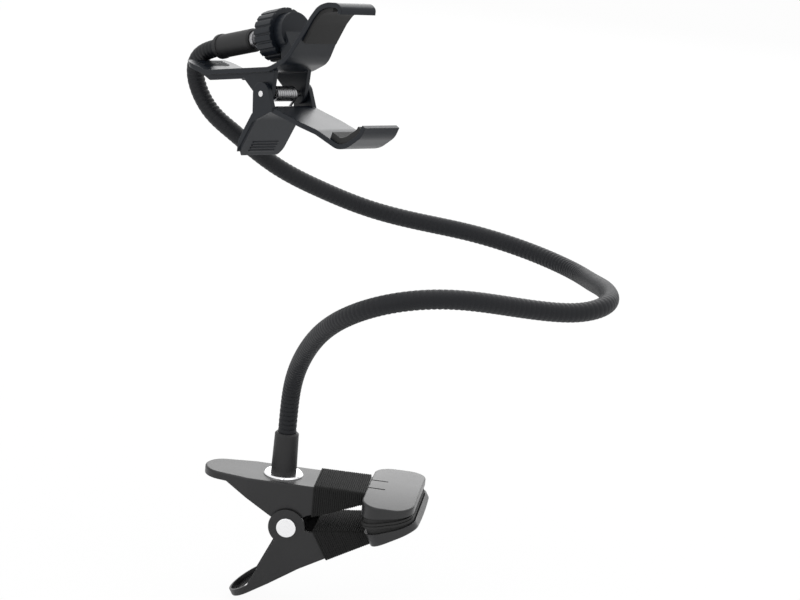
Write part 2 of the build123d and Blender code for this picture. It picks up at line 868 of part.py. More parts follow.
# Rubber liners inside the two hooks
for name, points, first, last, thickness, side in (
    ("upper_liner", upper_path, 3, 7, upper_liner_thickness, 0),
    ("lower_liner", lower_path, 3, 7, lower_liner_thickness, -1),
):
    with BuildPart() as liner:
        with BuildSketch(clip_side):
            add(liner_section(points, first, last, thickness, side))
        extrude(amount=hook_span / 2 - liner_margin, both=True)
    finish(liner, name)
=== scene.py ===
"""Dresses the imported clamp-on gooseneck holder: finishes, ribbed arm, wound cords and springs."""

import json
import logging
import math
from dataclasses import dataclass, field
from enum import Enum

import bpy
from mathutils import Matrix, Vector


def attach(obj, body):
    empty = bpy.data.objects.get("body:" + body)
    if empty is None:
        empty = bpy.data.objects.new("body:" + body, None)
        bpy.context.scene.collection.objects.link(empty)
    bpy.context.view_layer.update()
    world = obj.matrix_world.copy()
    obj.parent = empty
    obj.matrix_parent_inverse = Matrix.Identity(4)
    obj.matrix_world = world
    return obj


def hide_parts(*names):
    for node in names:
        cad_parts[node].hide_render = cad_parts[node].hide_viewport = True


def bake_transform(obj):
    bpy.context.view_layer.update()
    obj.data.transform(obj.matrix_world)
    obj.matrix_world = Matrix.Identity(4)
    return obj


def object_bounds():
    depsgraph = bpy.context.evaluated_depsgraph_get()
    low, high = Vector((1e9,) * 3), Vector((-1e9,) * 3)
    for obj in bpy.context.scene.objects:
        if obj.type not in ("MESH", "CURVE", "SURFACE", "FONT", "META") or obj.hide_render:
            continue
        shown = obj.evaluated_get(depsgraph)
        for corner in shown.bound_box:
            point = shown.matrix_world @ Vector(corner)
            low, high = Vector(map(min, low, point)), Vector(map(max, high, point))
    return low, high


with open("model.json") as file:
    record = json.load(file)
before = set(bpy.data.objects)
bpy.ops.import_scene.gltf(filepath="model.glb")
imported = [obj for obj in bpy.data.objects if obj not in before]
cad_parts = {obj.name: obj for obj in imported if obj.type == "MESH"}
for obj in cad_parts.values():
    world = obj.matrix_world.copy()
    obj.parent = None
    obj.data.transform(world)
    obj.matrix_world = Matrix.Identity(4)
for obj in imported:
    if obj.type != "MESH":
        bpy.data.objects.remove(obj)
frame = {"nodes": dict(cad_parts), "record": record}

CAD_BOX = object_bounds()
LOG = logging.getLogger("holder")
MM = 0.001
WHITE = (1.0, 1.0, 1.0, 1.0)
ACROSS = Vector((0.0, 1.0, 0.0))
# The middle of the arm's foot on the upper lever, in millimetres.
ARM_SEAT = Vector((-58.16, 0.0, 8.524))
# The arm, the clip and the camera are turned together about the arm's foot.
ARM_TURN = Matrix.Rotation(math.radians(6.5), 3, "Z")


class Slot(Enum):
    """The record's material slots."""

    COATED_STEEL = "coated_steel"
    BRIGHT_STEEL = "bright_steel"
    SPRING_WIRE = "spring_wire"
    JAW_RUBBER = "jaw_rubber"
    PAD_RUBBER = "pad_rubber"
    BLACK_CORD = "black_cord"
    BLACK_FERRULE = "black_ferrule"
    ARM_SLEEVE = "arm_sleeve"
    CLIP_PLASTIC = "clip_plastic"


class Effect(Enum):
    """The shader effects that several finishes share."""

    GRAIN = "surface_grain"
    SCUFFS = "scuff_marks"
    DRAWN = "drawn_lines"


class EffectLibrary:
    """Builds each shared shader effect once, as a node group."""

    SCUFF_STRETCH = (1.0, 0.25, 0.6)
    SCUFF_FULL = 0.95
    DRAWN_STRETCH = (1.0, 0.08, 1.0)

    def __init__(self) -> None:
        self.groups: dict[Effect, bpy.types.NodeTree] = {}

    def get(self, effect: Effect) -> bpy.types.NodeTree:
        """Gives the node group of an effect, building it the first time.

        Args:
            effect: The effect that a finish asks for.

        Returns:
            The effect's node group.
        """
        builders = {
            Effect.GRAIN: self._grain,
            Effect.SCUFFS: self._scuffs,
            Effect.DRAWN: self._drawn,
        }
        if effect not in self.groups:
            self.groups[effect] = builders[effect]()
        return self.groups[effect]

    @staticmethod
    def _start(name: str, inputs: dict[str, float], outputs: tuple[str, ...]) -> tuple:
        """Starts a group with named value sockets.

        Args:
            name: The group's name.
            inputs: Its input sockets and their defaults.
            outputs: Its output sockets.

        Returns:
            The tree, its input node, its output node and an Object coordinate socket.
        """
        tree = bpy.data.node_groups.new(name, "ShaderNodeTree")
        for label, value in inputs.items():
            socket = tree.interface.new_socket(label, in_out="INPUT", socket_type="NodeSocketFloat")
            socket.default_value = value
        for label in outputs:
            tree.interface.new_socket(label, in_out="OUTPUT", socket_type="NodeSocketFloat")
        entry = tree.nodes.new("NodeGroupInput")
        leave = tree.nodes.new("NodeGroupOutput")
        place = tree.nodes.new("ShaderNodeTexCoord").outputs["Object"]
        return tree, entry, leave, place

    @staticmethod
    def _noise(tree: bpy.types.NodeTree, place, detail: float, roughness: float):
        """Adds a noise texture that reads a coordinate socket.

        Args:
            tree: The group to add to.
            place: The coordinate socket.
            detail: How many finer layers the noise has.
            roughness: How strong the finer layers are.

        Returns:
            The noise node.
        """
        noise = tree.nodes.new("ShaderNodeTexNoise")
        noise.inputs["Detail"].default_value = detail
        noise.inputs["Roughness"].default_value = roughness
        tree.links.new(place, noise.inputs["Vector"])
        return noise

    @staticmethod
    def _stretched(tree: bpy.types.NodeTree, place, scale: tuple[float, float, float]):
        """Stretches a coordinate, so that marks get longer one way than another.

        Args:
            tree: The group to add to.
            place: The coordinate socket.
            scale: How dense the marks are along each axis.

        Returns:
            The stretched coordinate's socket.
        """
        stretch = tree.nodes.new("ShaderNodeMapping")
        stretch.inputs["Scale"].default_value = scale
        tree.links.new(place, stretch.inputs["Vector"])
        return stretch.outputs["Vector"]

    def _grain(self) -> bpy.types.NodeTree:
        """Makes fine moulded or sprayed grain, with a slow mottle.

        Returns:
            The effect's node group.
        """
        tree, entry, leave, place = self._start(
            Effect.GRAIN.value, {"Grain Scale": 2500.0, "Mottle Scale": 60.0}, ("Height", "Mottle")
        )
        fine = self._noise(tree, place, detail=2.0, roughness=0.6)
        slow = self._noise(tree, place, detail=4.0, roughness=0.55)
        tree.links.new(entry.outputs["Grain Scale"], fine.inputs["Scale"])
        tree.links.new(entry.outputs["Mottle Scale"], slow.inputs["Scale"])
        tree.links.new(fine.outputs["Fac"], leave.inputs["Height"])
        tree.links.new(slow.outputs["Fac"], leave.inputs["Mottle"])
        return tree

    def _scuffs(self) -> bpy.types.NodeTree:
        """Makes sparse handling marks, longer one way than the other.

        Returns:
            The effect's node group.
        """
        tree, entry, leave, place = self._start(
            Effect.SCUFFS.value, {"Scale": 120.0, "Coverage": 0.35}, ("Mask",)
        )
        longer = self._stretched(tree, place, self.SCUFF_STRETCH)
        noise = self._noise(tree, longer, detail=6.0, roughness=0.7)
        tree.links.new(entry.outputs["Scale"], noise.inputs["Scale"])
        start = tree.nodes.new("ShaderNodeMath")
        start.operation = "SUBTRACT"
        start.inputs[0].default_value = 1.0
        tree.links.new(entry.outputs["Coverage"], start.inputs[1])
        keep = tree.nodes.new("ShaderNodeMapRange")
        keep.interpolation_type = "SMOOTHSTEP"
        keep.inputs["From Max"].default_value = self.SCUFF_FULL
        tree.links.new(noise.outputs["Fac"], keep.inputs["Value"])
        tree.links.new(start.outputs["Value"], keep.inputs["From Min"])
        tree.links.new(keep.outputs["Result"], leave.inputs["Mask"])
        return tree

    def _drawn(self) -> bpy.types.NodeTree:
        """Makes fine parallel lines, as drawing or turning leaves them on metal.

        Returns:
            The effect's node group.
        """
        tree, entry, leave, place = self._start(
            Effect.DRAWN.value, {"Scale": 900.0}, ("Height", "Mottle")
        )
        longer = self._stretched(tree, place, self.DRAWN_STRETCH)
        noise = self._noise(tree, longer, detail=3.0, roughness=0.6)
        tree.links.new(entry.outputs["Scale"], noise.inputs["Scale"])
        tree.links.new(noise.outputs["Fac"], leave.inputs["Height"])
        tree.links.new(noise.outputs["Fac"], leave.inputs["Mottle"])
        return tree


@dataclass(frozen=True)
class Finish:
    """One finish of the holder, and how it becomes a material."""

    SHEEN_ROUGHNESS = 0.5
    EDGE_SAMPLES = 4

    slot: Slot
    base: tuple[float, float, float]
    worn: tuple[float, float, float]
    roughness: tuple[float, float]
    metallic: float = 0.0
    specular: float = 0.5
    effect: Effect = Effect.GRAIN
    grain_scale: float = 2500.0
    mottle_scale: float = 60.0
    bump: float = 0.15
    bump_depth: float = 0.00005
    scuffs: float = 0.0
    sheen: float = 0.0
    soft_edge: float = 0.0

    def material(self, effects: EffectLibrary) -> bpy.types.Material:
        """Builds the material.

        Args:
            effects: The shared shader effects.

        Returns:
            A node-based material named for its slot.
        """
        paint = bpy.data.materials.new(self.slot.value)
        paint.use_nodes = True
        tree = paint.node_tree
        shader = tree.nodes["Principled BSDF"]
        shader.inputs["Metallic"].default_value = self.metallic
        shader.inputs["Specular IOR Level"].default_value = self.specular
        shader.inputs["Sheen Weight"].default_value = self.sheen
        shader.inputs["Sheen Roughness"].default_value = self.SHEEN_ROUGHNESS
        surface = self._surface(tree, effects)
        mask = self._wear(tree, effects, surface.outputs["Mottle"])
        colour = tree.nodes.new("ShaderNodeMix")
        colour.data_type = "RGBA"
        colour.inputs["A"].default_value = (*self.base, 1.0)
        colour.inputs["B"].default_value = (*self.worn, 1.0)
        tree.links.new(mask, colour.inputs["Factor"])
        tree.links.new(colour.outputs["Result"], shader.inputs["Base Color"])
        gloss = tree.nodes.new("ShaderNodeMapRange")
        gloss.inputs["To Min"].default_value = self.roughness[0]
        gloss.inputs["To Max"].default_value = self.roughness[1]
        tree.links.new(mask, gloss.inputs["Value"])
        tree.links.new(gloss.outputs["Result"], shader.inputs["Roughness"])
        tree.links.new(self._relief(tree, surface.outputs["Height"]), shader.inputs["Normal"])
        return paint

    def _surface(self, tree: bpy.types.NodeTree, effects: EffectLibrary):
        """Adds the effect that gives the finish its grain.

        Args:
            tree: The material's tree.
            effects: The shared shader effects.

        Returns:
            The effect's node.
        """
        surface = tree.nodes.new("ShaderNodeGroup")
        surface.node_tree = effects.get(self.effect)
        if self.effect is Effect.GRAIN:
            surface.inputs["Grain Scale"].default_value = self.grain_scale
            surface.inputs["Mottle Scale"].default_value = self.mottle_scale
        else:
            surface.inputs["Scale"].default_value = self.grain_scale
        return surface

    def _wear(self, tree: bpy.types.NodeTree, effects: EffectLibrary, mottle):
        """Adds the finish's scuffs, where it has any, to its mottle.

        Args:
            tree: The material's tree.
            effects: The shared shader effects.
            mottle: The mottle's socket.

        Returns:
            The socket that says how worn the surface is.
        """
        if self.scuffs <= 0:
            return mottle
        marks = tree.nodes.new("ShaderNodeGroup")
        marks.node_tree = effects.get(Effect.SCUFFS)
        marks.inputs["Coverage"].default_value = self.scuffs
        both = tree.nodes.new("ShaderNodeMath")
        both.operation = "ADD"
        both.use_clamp = True
        tree.links.new(mottle, both.inputs[0])
        tree.links.new(marks.outputs["Mask"], both.inputs[1])
        return both.outputs["Value"]

    def _relief(self, tree: bpy.types.NodeTree, height):
        """Adds the finish's fine relief, on softened edges where it has them.

        Args:
            tree: The material's tree.
            height: The grain's height socket.

        Returns:
            The normal's socket.
        """
        relief = tree.nodes.new("ShaderNodeBump")
        relief.inputs["Strength"].default_value = self.bump
        relief.inputs["Distance"].default_value = self.bump_depth
        tree.links.new(height, relief.inputs["Height"])
        if self.soft_edge > 0:
            edge = tree.nodes.new("ShaderNodeBevel")
            edge.samples = self.EDGE_SAMPLES
            edge.inputs["Radius"].default_value = self.soft_edge
            tree.links.new(edge.outputs["Normal"], relief.inputs["Normal"])
        return relief.outputs["Normal"]


FINISHES: tuple[Finish, ...] = (
    Finish(
        Slot.COATED_STEEL, (0.012, 0.012, 0.013), (0.020, 0.020, 0.021), (0.30, 0.39),
        specular=0.4, grain_scale=1800.0, bump=0.25, scuffs=0.12, soft_edge=0.0003,
    ),
    Finish(
        Slot.BRIGHT_STEEL, (0.90, 0.90, 0.91), (0.95, 0.95, 0.96), (0.16, 0.26),
        metallic=1.0, effect=Effect.DRAWN, bump=0.08,
    ),
    Finish(
        Slot.SPRING_WIRE, (0.36, 0.36, 0.37), (0.50, 0.50, 0.51), (0.28, 0.40),
        metallic=1.0, effect=Effect.DRAWN, bump=0.1,
    ),
    Finish(
        Slot.JAW_RUBBER, (0.016, 0.016, 0.017), (0.026, 0.026, 0.027), (0.28, 0.37),
        specular=0.4, grain_scale=1500.0, bump=0.3, scuffs=0.1, soft_edge=0.0004,
    ),
    Finish(
        Slot.PAD_RUBBER, (0.010, 0.010, 0.010), (0.017, 0.017, 0.017), (0.60, 0.72),
        specular=0.4, grain_scale=1200.0, bump=0.35, soft_edge=0.0004,
    ),
    Finish(
        Slot.BLACK_CORD, (0.008, 0.008, 0.008), (0.014, 0.014, 0.014), (0.78, 0.9),
        specular=0.25, grain_scale=3500.0, bump=0.5, sheen=0.03,
    ),
    Finish(
        Slot.BLACK_FERRULE, (0.011, 0.011, 0.012), (0.018, 0.018, 0.019), (0.48, 0.60),
        specular=0.4, grain_scale=2200.0, bump=0.3, soft_edge=0.0003,
    ),
    Finish(
        Slot.ARM_SLEEVE, (0.0045, 0.0052, 0.0070), (0.010, 0.011, 0.0135), (0.50, 0.64),
        specular=0.28, grain_scale=1600.0, bump=0.3, scuffs=0.08,
    ),
    Finish(
        Slot.CLIP_PLASTIC, (0.004, 0.006, 0.010), (0.009, 0.012, 0.017), (0.29, 0.37),
        specular=0.3, grain_scale=2600.0, bump=0.12, scuffs=0.08, soft_edge=0.0007,
    ),
)


class NodeTree:
    """A Geometry Nodes tree under construction, with named inputs."""

    def __init__(self, name: str) -> None:
        self.group = bpy.data.node_groups.new(name, "GeometryNodeTree")
        self.sockets: dict[str, str] = {}
        self.new_input("Geometry", "NodeSocketGeometry")
        self.group.interface.new_socket(
            "Geometry", in_out="OUTPUT", socket_type="NodeSocketGeometry"
        )
        self.entry = self.group.nodes.new("NodeGroupInput")
        self.leave = self.group.nodes.new("NodeGroupOutput")

    def new_input(self, label: str, kind: str) -> None:
        """Adds a named input to the tree.

        Args:
            label: The input's name.
            kind: Its socket type.
        """
        socket = self.group.interface.new_socket(label, in_out="INPUT", socket_type=kind)
        self.sockets[label] = socket.identifier

    def node(self, kind: str, **settings):
        """Adds a node and sets its properties.

        Args:
            kind: The node's type name.
            settings: Properties to set on it.

        Returns:
            The new node.
        """
        made = self.group.nodes.new(kind)
        for label, value in settings.items():
            setattr(made, label, value)
        return made

    def link(self, source, target) -> None:
        """Joins two sockets.

        Args:
            source: The output socket.
            target: The input socket.
        """
        self.group.links.new(source, target)

    def math(self, operation: str, first, second=None):
        """Adds a Math node.

        Args:
            operation: What it does.
            first: A socket or a number.
            second: A socket or a number, where the operation takes two.

        Returns:
            The node's output socket.
        """
        made = self.node("ShaderNodeMath", operation=operation)
        for place, value in enumerate((first, second)):
            if value is None:
                continue
            if isinstance(value, (int, float)):
                made.inputs[place].default_value = value
            else:
                self.link(value, made.inputs[place])
        return made.outputs["Value"]

    def close(self, geometry) -> None:
        """Ends the tree: realizes instances, shades smoothly and sets the material.

        Args:
            geometry: The socket of the finished geometry.
        """
        self.new_input("Material", "NodeSocketMaterial")
        real = self.node("GeometryNodeRealizeInstances")
        smooth = self.node("GeometryNodeSetShadeSmooth")
        paint = self.node("GeometryNodeSetMaterial")
        self.link(geometry, real.inputs["Geometry"])
        self.link(real.outputs["Geometry"], smooth.inputs["Geometry"])
        self.link(smooth.outputs["Geometry"], paint.inputs["Geometry"])
        self.link(self.entry.outputs["Material"], paint.inputs["Material"])
        self.link(paint.outputs["Geometry"], self.leave.inputs["Geometry"])

    def run(self, name: str, base: bpy.types.Mesh, values: dict) -> bpy.types.Object:
        """Runs the tree on a mesh and keeps the result as a plain mesh.

        Args:
            name: The finished piece's name.
            base: The mesh that the tree starts from.
            values: The tree's inputs by name.

        Returns:
            The finished object, at the origin with no modifier left.
        """
        piece = bpy.data.objects.new(name, base)
        bpy.context.scene.collection.objects.link(piece)
        step = piece.modifiers.new(name, "NODES")
        step.node_group = self.group
        for label, value in values.items():
            step[self.sockets[label]] = value
        bpy.context.view_layer.update()
        graph = bpy.context.evaluated_depsgraph_get()
        made = bpy.data.meshes.new_from_object(piece.evaluated_get(graph), depsgraph=graph)
        piece.modifiers.clear()
        piece.data = made
        made.name = name
        return piece


class RibbedTube(NodeTree):
    """A tube along a path, with shallow ribs that bunch up on the inside of its bends."""

    BLUR_STEPS = 60
    BLUR_SHARE = 2.0 / 3.0
    GROOVE_POWER = 0.6
    PATCH_SCALE = 70.0
    # The noise is a half on average, and the grooves go inwards.
    PATCH_GAIN = -2.0

    def __init__(self) -> None:
        super().__init__("ribbed_tube")
        for label in ("Radius", "Step", "Rib Pitch", "Rib Depth", "Bunch Depth", "Bunch Radius"):
            self.new_input(label, "NodeSocketFloat")
        self.new_input("Sides", "NodeSocketInt")
        path = self.node("GeometryNodeMeshToCurve")
        even = self.node("GeometryNodeResampleCurve", mode="LENGTH")
        ring = self.node("GeometryNodeCurvePrimitiveCircle", mode="RADIUS")
        tube = self.node("GeometryNodeCurveToMesh")
        along = self.node("GeometryNodeSplineParameter")
        source = self.entry.outputs
        self.link(source["Geometry"], path.inputs["Mesh"])
        self.link(path.outputs["Curve"], even.inputs["Curve"])
        self.link(source["Step"], even.inputs["Length"])
        self.link(source["Radius"], ring.inputs["Radius"])
        self.link(source["Sides"], ring.inputs["Resolution"])
        turns = self.math("DIVIDE", along.outputs["Length"], source["Rib Pitch"])
        wave = self.math("ABSOLUTE", self.math("SINE", self.math("MULTIPLY", turns, math.pi)))
        dip = self.math("SUBTRACT", 1.0, self.math("POWER", wave, self.GROOVE_POWER))
        scale = self.math("SUBTRACT", 1.0, self.math("MULTIPLY", dip, source["Rib Depth"]))
        held = self._bend_capture(dip)
        self.link(even.outputs["Curve"], held.inputs["Geometry"])
        self.link(held.outputs["Geometry"], tube.inputs["Curve"])
        self.link(ring.outputs["Curve"], tube.inputs["Profile Curve"])
        self.link(scale, tube.inputs["Scale"])
        tube.inputs["Fill Caps"].default_value = True
        self.close(self._bunch(tube.outputs["Mesh"], held))

    def vector_math(self, operation: str, first, second=None):
        """Adds a Vector Math node.

        Args:
            operation: What it does.
            first: A vector socket.
            second: A vector socket, or a value socket for a scale, where it takes two.

        Returns:
            The node.
        """
        made = self.node("ShaderNodeVectorMath", operation=operation)
        self.link(first, made.inputs[0])
        if second is not None:
            self.link(second, made.inputs["Scale"] if operation == "SCALE" else made.inputs[1])
        return made

    def _bend_capture(self, dip):
        """Keeps each path point's place, bend and groove for the tube's own points.

        Args:
            dip: The socket that says how deep in a groove a path point is.

        Returns:
            The Capture Attribute node.
        """
        here = self.node("GeometryNodeInputPosition").outputs["Position"]
        blur = self.node("GeometryNodeBlurAttribute", data_type="FLOAT_VECTOR")
        blur.inputs["Iterations"].default_value = self.BLUR_STEPS
        value = next(pin for pin in blur.inputs if pin.enabled and pin.type == "VECTOR")
        result = next(pin for pin in blur.outputs if pin.enabled)
        self.link(here, value)
        pull = self.vector_math("SUBTRACT", result, here).outputs["Vector"]
        step = self.entry.outputs["Step"]
        reach = self.BLUR_STEPS * self.BLUR_SHARE / 2
        spread = self.math("MULTIPLY", self.math("MULTIPLY", step, step), reach)
        bend = self.vector_math("SCALE", pull, self.math("DIVIDE", 1.0, spread)).outputs["Vector"]
        held = self.node("GeometryNodeCaptureAttribute")
        kept = (("VECTOR", "Middle", here), ("VECTOR", "Bend", bend), ("FLOAT", "Dip", dip))
        for kind, label, source in kept:
            held.capture_items.new(kind, label)
            self.link(source, held.inputs[label])
        return held

    def _bunch(self, mesh, held):
        """Presses the grooves deeper on the inside of each bend, in patches.

        Args:
            mesh: The tube's mesh socket.
            held: The node that kept the path's points.

        Returns:
            The pressed mesh's socket.
        """
        here = self.node("GeometryNodeInputPosition").outputs["Position"]
        spoke = self.vector_math("SUBTRACT", here, held.outputs["Middle"]).outputs["Vector"]
        out = self.vector_math("NORMALIZE", spoke).outputs["Vector"]
        inside = self.vector_math("DOT_PRODUCT", out, held.outputs["Bend"]).outputs["Value"]
        tight = self.math("MULTIPLY", inside, self.entry.outputs["Bunch Radius"])
        share = self.node("ShaderNodeClamp")
        self.link(tight, share.inputs["Value"])
        patch = self.node("ShaderNodeTexNoise")
        patch.inputs["Scale"].default_value = self.PATCH_SCALE
        self.link(held.outputs["Middle"], patch.inputs["Vector"])
        depth = self.math("MULTIPLY", self.entry.outputs["Bunch Depth"], held.outputs["Dip"])
        depth = self.math("MULTIPLY", depth, share.outputs["Result"])
        uneven = self.math("MULTIPLY", patch.outputs[0], self.PATCH_GAIN)
        depth = self.math("MULTIPLY", depth, uneven)
        move = self.node("GeometryNodeSetPosition")
        self.link(mesh, move.inputs["Geometry"])
        self.link(self.vector_math("SCALE", out, depth).outputs["Vector"], move.inputs["Offset"])
        return move.outputs["Geometry"]


class WoundCord(NodeTree):
    """Turns of cord wound round a lever that gets shallower towards its jaw."""

    INPUTS = (
        "Cord Radius", "First", "Pitch", "Half Width", "Top", "Corner",
        "Heel Depth", "Heel Slope", "Throat", "Throat Depth", "Throat Slope",
        "Toe Depth", "Toe Slope",
    )
    LOOP_HEIGHT = 0.02
    CORNER_STEPS = 6
    CORD_SIDES = 8
    WOBBLE_LEAST = (0.0, -0.006, 0.018)
    WOBBLE_MOST = (0.0, 0.006, 0.028)
    WOBBLE_SEED = 7

    def __init__(self) -> None:
        super().__init__("wound_cord")
        for label in self.INPUTS:
            self.new_input(label, "NodeSocketFloat")
        self.new_input("Turns", "NodeSocketInt")
        source = self.entry.outputs
        row = self.node("GeometryNodePoints")
        number = self.node("GeometryNodeInputIndex")
        self.link(source["Turns"], row.inputs["Count"])
        reach = self.math(
            "ADD", source["First"], self.math("MULTIPLY", number.outputs["Index"], source["Pitch"])
        )
        bottom = self._bottom(reach)
        tall = self.math("SUBTRACT", source["Top"], bottom)
        middle = self.math("MULTIPLY", self.math("ADD", source["Top"], bottom), 0.5)
        place = self.node("ShaderNodeCombineXYZ")
        self.link(reach, place.inputs["X"])
        self.link(middle, place.inputs["Z"])
        self.link(place.outputs["Vector"], row.inputs["Position"])
        size = self.node("ShaderNodeCombineXYZ")
        size.inputs["X"].default_value = 1.0
        size.inputs["Y"].default_value = 1.0
        self.link(self.math("DIVIDE", tall, self.LOOP_HEIGHT), size.inputs["Z"])
        wind = self.node("GeometryNodeInstanceOnPoints")
        self.link(row.outputs["Points"], wind.inputs["Points"])
        self.link(self._loop(), wind.inputs["Instance"])
        self.link(self._wobble(), wind.inputs["Rotation"])
        self.link(size.outputs["Vector"], wind.inputs["Scale"])
        loose = self.node("GeometryNodeRealizeInstances")
        self.link(wind.outputs["Instances"], loose.inputs["Geometry"])
        ring = self.node("GeometryNodeCurvePrimitiveCircle", mode="RADIUS")
        ring.inputs["Resolution"].default_value = self.CORD_SIDES
        self.link(source["Cord Radius"], ring.inputs["Radius"])
        cord = self.node("GeometryNodeCurveToMesh")
        self.link(loose.outputs["Geometry"], cord.inputs["Curve"])
        self.link(ring.outputs["Curve"], cord.inputs["Profile Curve"])
        self.close(cord.outputs["Mesh"])

    def _bottom(self, reach):
        """Works out how deep the lever's flanges are under a turn.

        Args:
            reach: The socket of the turn's place along the lever.

        Returns:
            The socket of the flanges' lower edge there.
        """
        source = self.entry.outputs
        past = self.math("SUBTRACT", reach, source["Throat"])
        heel, throat, toe = (
            self.math(
                "ADD", source[f"{edge} Depth"], self.math("MULTIPLY", past, source[f"{edge} Slope"])
            )
            for edge in ("Heel", "Throat", "Toe")
        )
        return self.math("MINIMUM", self.math("MAXIMUM", heel, throat), toe)

    def _loop(self):
        """Makes one rounded turn of a standard height, standing across the lever.

        Returns:
            The turn's curve socket.
        """
        source = self.entry.outputs
        loop = self.node("GeometryNodeCurvePrimitiveQuadrilateral", mode="RECTANGLE")
        loop.inputs["Height"].default_value = self.LOOP_HEIGHT
        self.link(self.math("MULTIPLY", source["Half Width"], 2.0), loop.inputs["Width"])
        soft = self.node("GeometryNodeFilletCurve", mode="POLY")
        soft.inputs["Count"].default_value = self.CORNER_STEPS
        soft.inputs["Limit Radius"].default_value = True
        self.link(loop.outputs["Curve"], soft.inputs["Curve"])
        self.link(source["Corner"], soft.inputs["Radius"])
        stand = self.node("GeometryNodeTransform")
        stand.inputs["Rotation"].default_value = (math.pi / 2, 0.0, math.pi / 2)
        self.link(soft.outputs["Curve"], stand.inputs["Geometry"])
        return stand.outputs["Geometry"]

    def _wobble(self):
        """Turns each loop a little, as cord wound by hand lies.

        Returns:
            The rotation's socket.
        """
        wobble = self.node("FunctionNodeRandomValue", data_type="FLOAT_VECTOR")
        wobble.inputs[0].default_value = self.WOBBLE_LEAST
        wobble.inputs[1].default_value = self.WOBBLE_MOST
        wobble.inputs["Seed"].default_value = self.WOBBLE_SEED
        turned = self.node("FunctionNodeEulerToRotation")
        self.link(wobble.outputs[0], turned.inputs[0])
        return turned.outputs[0]


PATH_STEPS = 16
PATH_ORDER = 4


def path_mesh(name: str, points: list[Vector], smooth: bool) -> bpy.types.Mesh:
    """Turns a route into a mesh of plain edges.

    Args:
        name: The path's name.
        points: The route's points in metres.
        smooth: True for a NURBS line with the points as control points, False for a plain line.

    Returns:
        A mesh with one chain of edges.
    """
    line = bpy.data.curves.new(name, "CURVE")
    line.dimensions = "3D"
    line.resolution_u = PATH_STEPS
    spline = line.splines.new("NURBS" if smooth else "POLY")
    spline.points.add(len(points) - 1)
    for knot, point in zip(spline.points, points):
        knot.co = (*point, 1.0)
    if smooth:
        spline.order_u = PATH_ORDER
        spline.use_endpoint_u = True
    carrier = bpy.data.objects.new(name, line)
    bpy.context.scene.collection.objects.link(carrier)
    bpy.context.view_layer.update()
    graph = bpy.context.evaluated_depsgraph_get()
    made = bpy.data.meshes.new_from_object(carrier.evaluated_get(graph), depsgraph=graph)
    bpy.data.objects.remove(carrier)
    return made


@dataclass(frozen=True)
class TorsionSpring:
    """A torsion spring on a pin: a leg, a helix and a second leg."""

    STEPS_PER_TURN = 28
    # Neighbouring turns all but touch: two wire radii and a little air.
    PITCH_IN_RADII = 2.05
    # One rib longer than any wire, with no depth, leaves the wire plain.
    PLAIN_PITCH = 1.0

    name: str
    centre: Vector
    axis: Vector
    first: Vector
    last: Vector
    radius: float
    turns: int
    wire: float
    step: float
    sides: int

    def points(self) -> list[Vector]:
        """Lays out the wire.

        Returns:
            The wire's middle line.
        """
        side = (self.first - self.centre).normalized()
        side = (side - self.axis * side.dot(self.axis)).normalized()
        ahead = self.axis.cross(side)
        first_angle, first_spread = self._leave(self.first, side, ahead)
        last_angle, last_spread = self._leave(self.last, side, ahead)
        start = first_angle + first_spread
        stop = last_angle - last_spread
        while stop < start + (self.turns - 0.5) * math.tau:
            stop += math.tau
        total = stop - start
        steps = int(total / math.tau * self.STEPS_PER_TURN)
        half = total / math.tau * (self.PITCH_IN_RADII * self.wire) / 2
        line = [self.first - self.axis * half]
        for count in range(steps + 1):
            share = count / steps
            angle = start + share * total
            round_pin = side * math.cos(angle) + ahead * math.sin(angle)
            line.append(self.centre + round_pin * self.radius + self.axis * (2 * share - 1) * half)
        line.append(self.last + self.axis * half)
        return line

    def _leave(self, toe: Vector, side: Vector, ahead: Vector) -> tuple[float, float]:
        """Works out where a straight leg leaves the coil.

        Args:
            toe: Where the leg ends.
            side: The direction round the pin that counts as none.
            ahead: The direction a quarter turn on from it.

        Returns:
            The toe's direction round the pin, and how far round from it the leg leaves.
        """
        arm = toe - self.centre
        forward, sideways = arm.dot(ahead), arm.dot(side)
        return math.atan2(forward, sideways), math.acos(self.radius / math.hypot(forward, sideways))

    def twist_span(self) -> tuple[Vector, Vector]:
        """Gives the stretch of the pin over which the coil twists, between the two legs.

        Returns:
            The stretch's two ends, the first leg's side first.
        """
        line = self.points()
        half = (line[-1] - line[0]).dot(self.axis) / 2 - self.wire
        return self.centre - self.axis * half, self.centre + self.axis * half

    def wind(self, tree: RibbedTube, paint: bpy.types.Material) -> bpy.types.Object:
        """Winds the wire.

        Args:
            tree: The tree that makes tubes.
            paint: The wire's material.

        Returns:
            The finished spring.
        """
        return tree.run(
            self.name,
            path_mesh(self.name, self.points(), False),
            {
                "Radius": self.wire, "Step": self.step, "Rib Pitch": self.PLAIN_PITCH,
                "Rib Depth": 0.0, "Sides": self.sides, "Material": paint,
            },
        )


